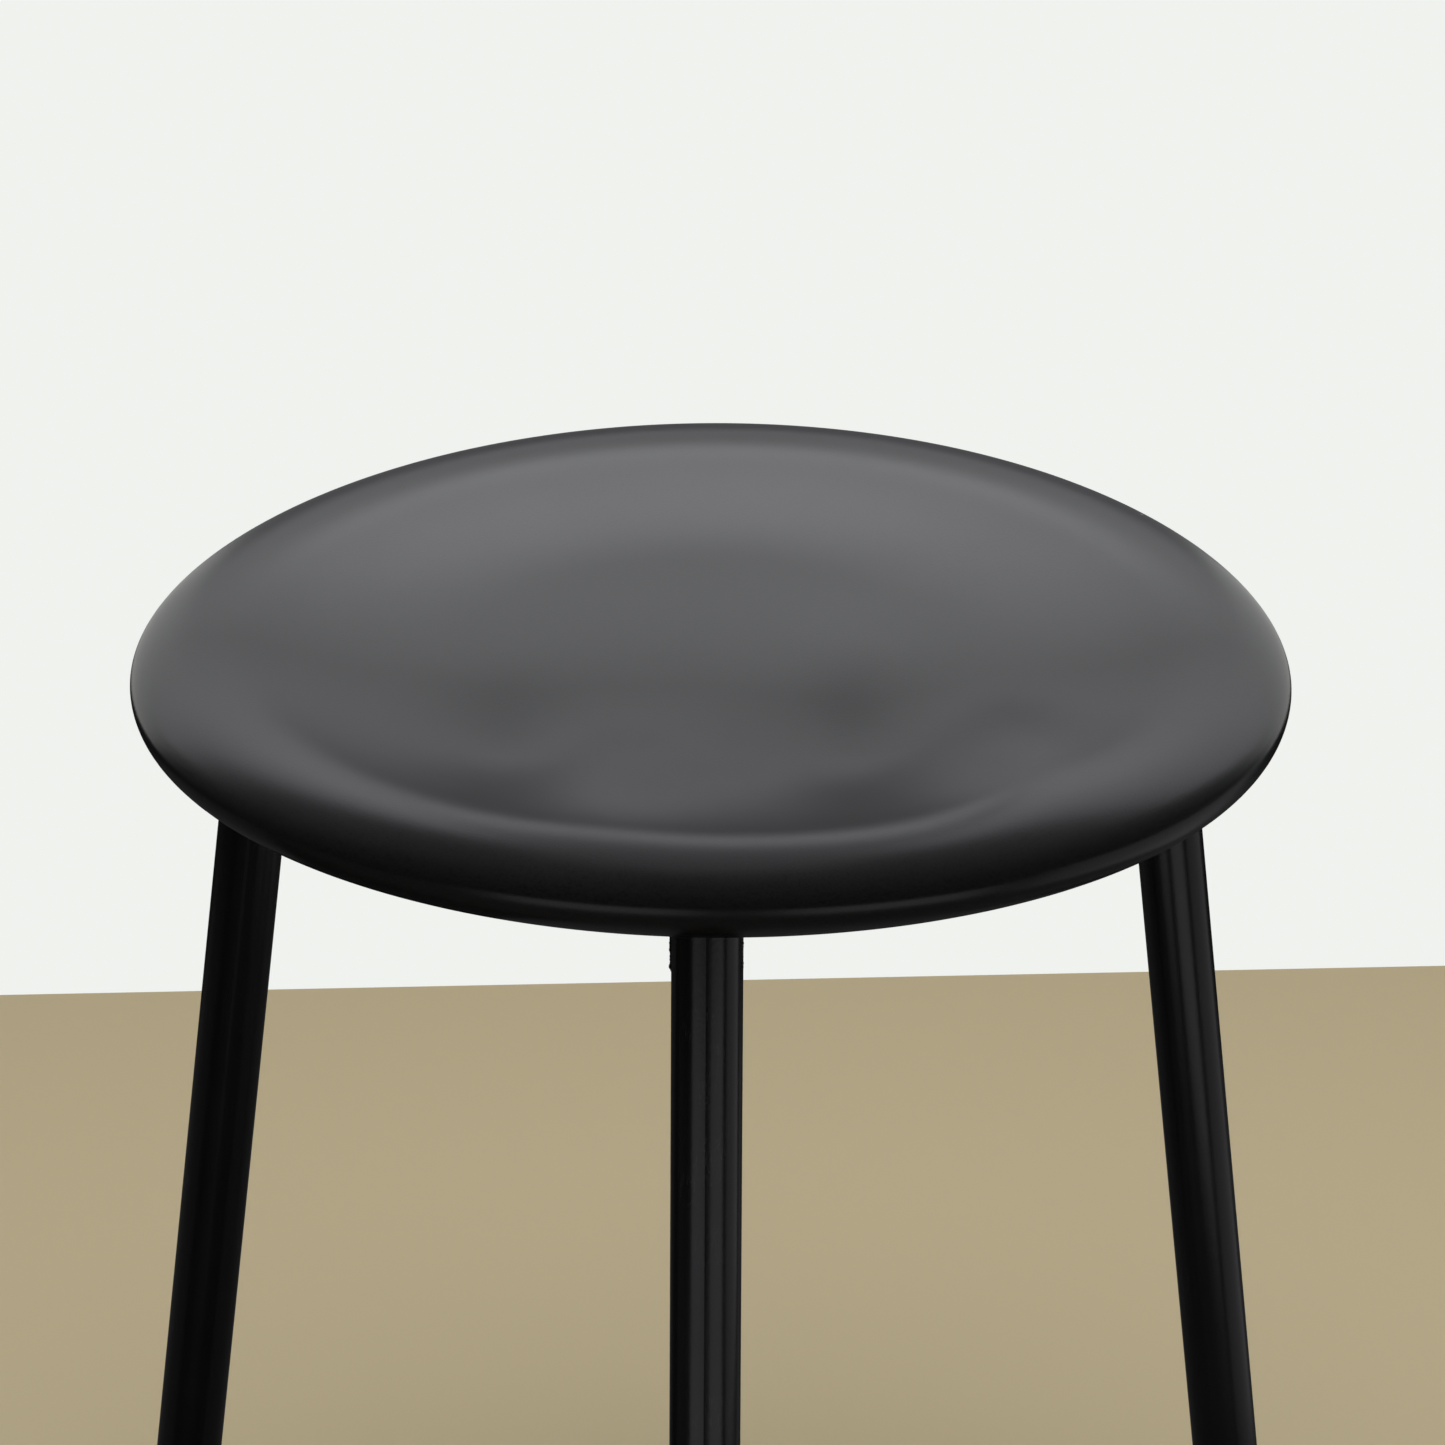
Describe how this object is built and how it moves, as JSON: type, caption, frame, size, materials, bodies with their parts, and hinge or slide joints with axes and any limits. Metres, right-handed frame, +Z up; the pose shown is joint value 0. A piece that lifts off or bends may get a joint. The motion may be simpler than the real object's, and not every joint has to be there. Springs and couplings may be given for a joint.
{
  "type": "round salon stool",
  "caption": "Low round stool: shallow dished padded seat on straight splayed tube legs joined by cross rails under the seat.",
  "frame": {"origin": "on the floor under the middle of the seat", "axes": "+Z up, the front leg stands towards -Y and the right leg towards +X"},
  "size_m": [0.4086, 0.4086, 0.45],
  "materials": {
    "seat_vinyl": "matt black coated fabric with a fine grain",
    "seat_foam": "cut polyurethane foam",
    "plywood": "unfinished birch plywood",
    "zinc_steel": "bright zinc plate",
    "staple_steel": "galvanised wire",
    "dust_cloth": "black non-woven cloth",
    "black_paint": "satin black powder coat",
    "black_nylon": "moulded black nylon",
    "sole_rubber": "soft black rubber"
  },
  "bodies": {
    "root": {"seat_cover": "seat_vinyl", "seat_foam": "seat_foam", "seat_board": "plywood", "tee_nuts": "zinc_steel", "cover_staples": "staple_steel", "dust_cover": "dust_cloth", "dust_staples": "staple_steel", "cross_rail": "black_paint", "half_rail_front": "black_paint", "half_rail_back": "black_paint", "mounting_bolts": "zinc_steel", "spring_washers": "zinc_steel", "plain_washers": "zinc_steel", "leg_front": "black_paint", "foot_plug_front": "black_nylon", "foot_sole_front": "sole_rubber", "leg_right": "black_paint", "foot_plug_right": "black_nylon", "foot_sole_right": "sole_rubber", "leg_back": "black_paint", "foot_plug_back": "black_nylon", "foot_sole_back": "sole_rubber", "leg_left": "black_paint", "foot_plug_left": "black_nylon", "foot_sole_left": "sole_rubber"}
  },
  "joints": []
}
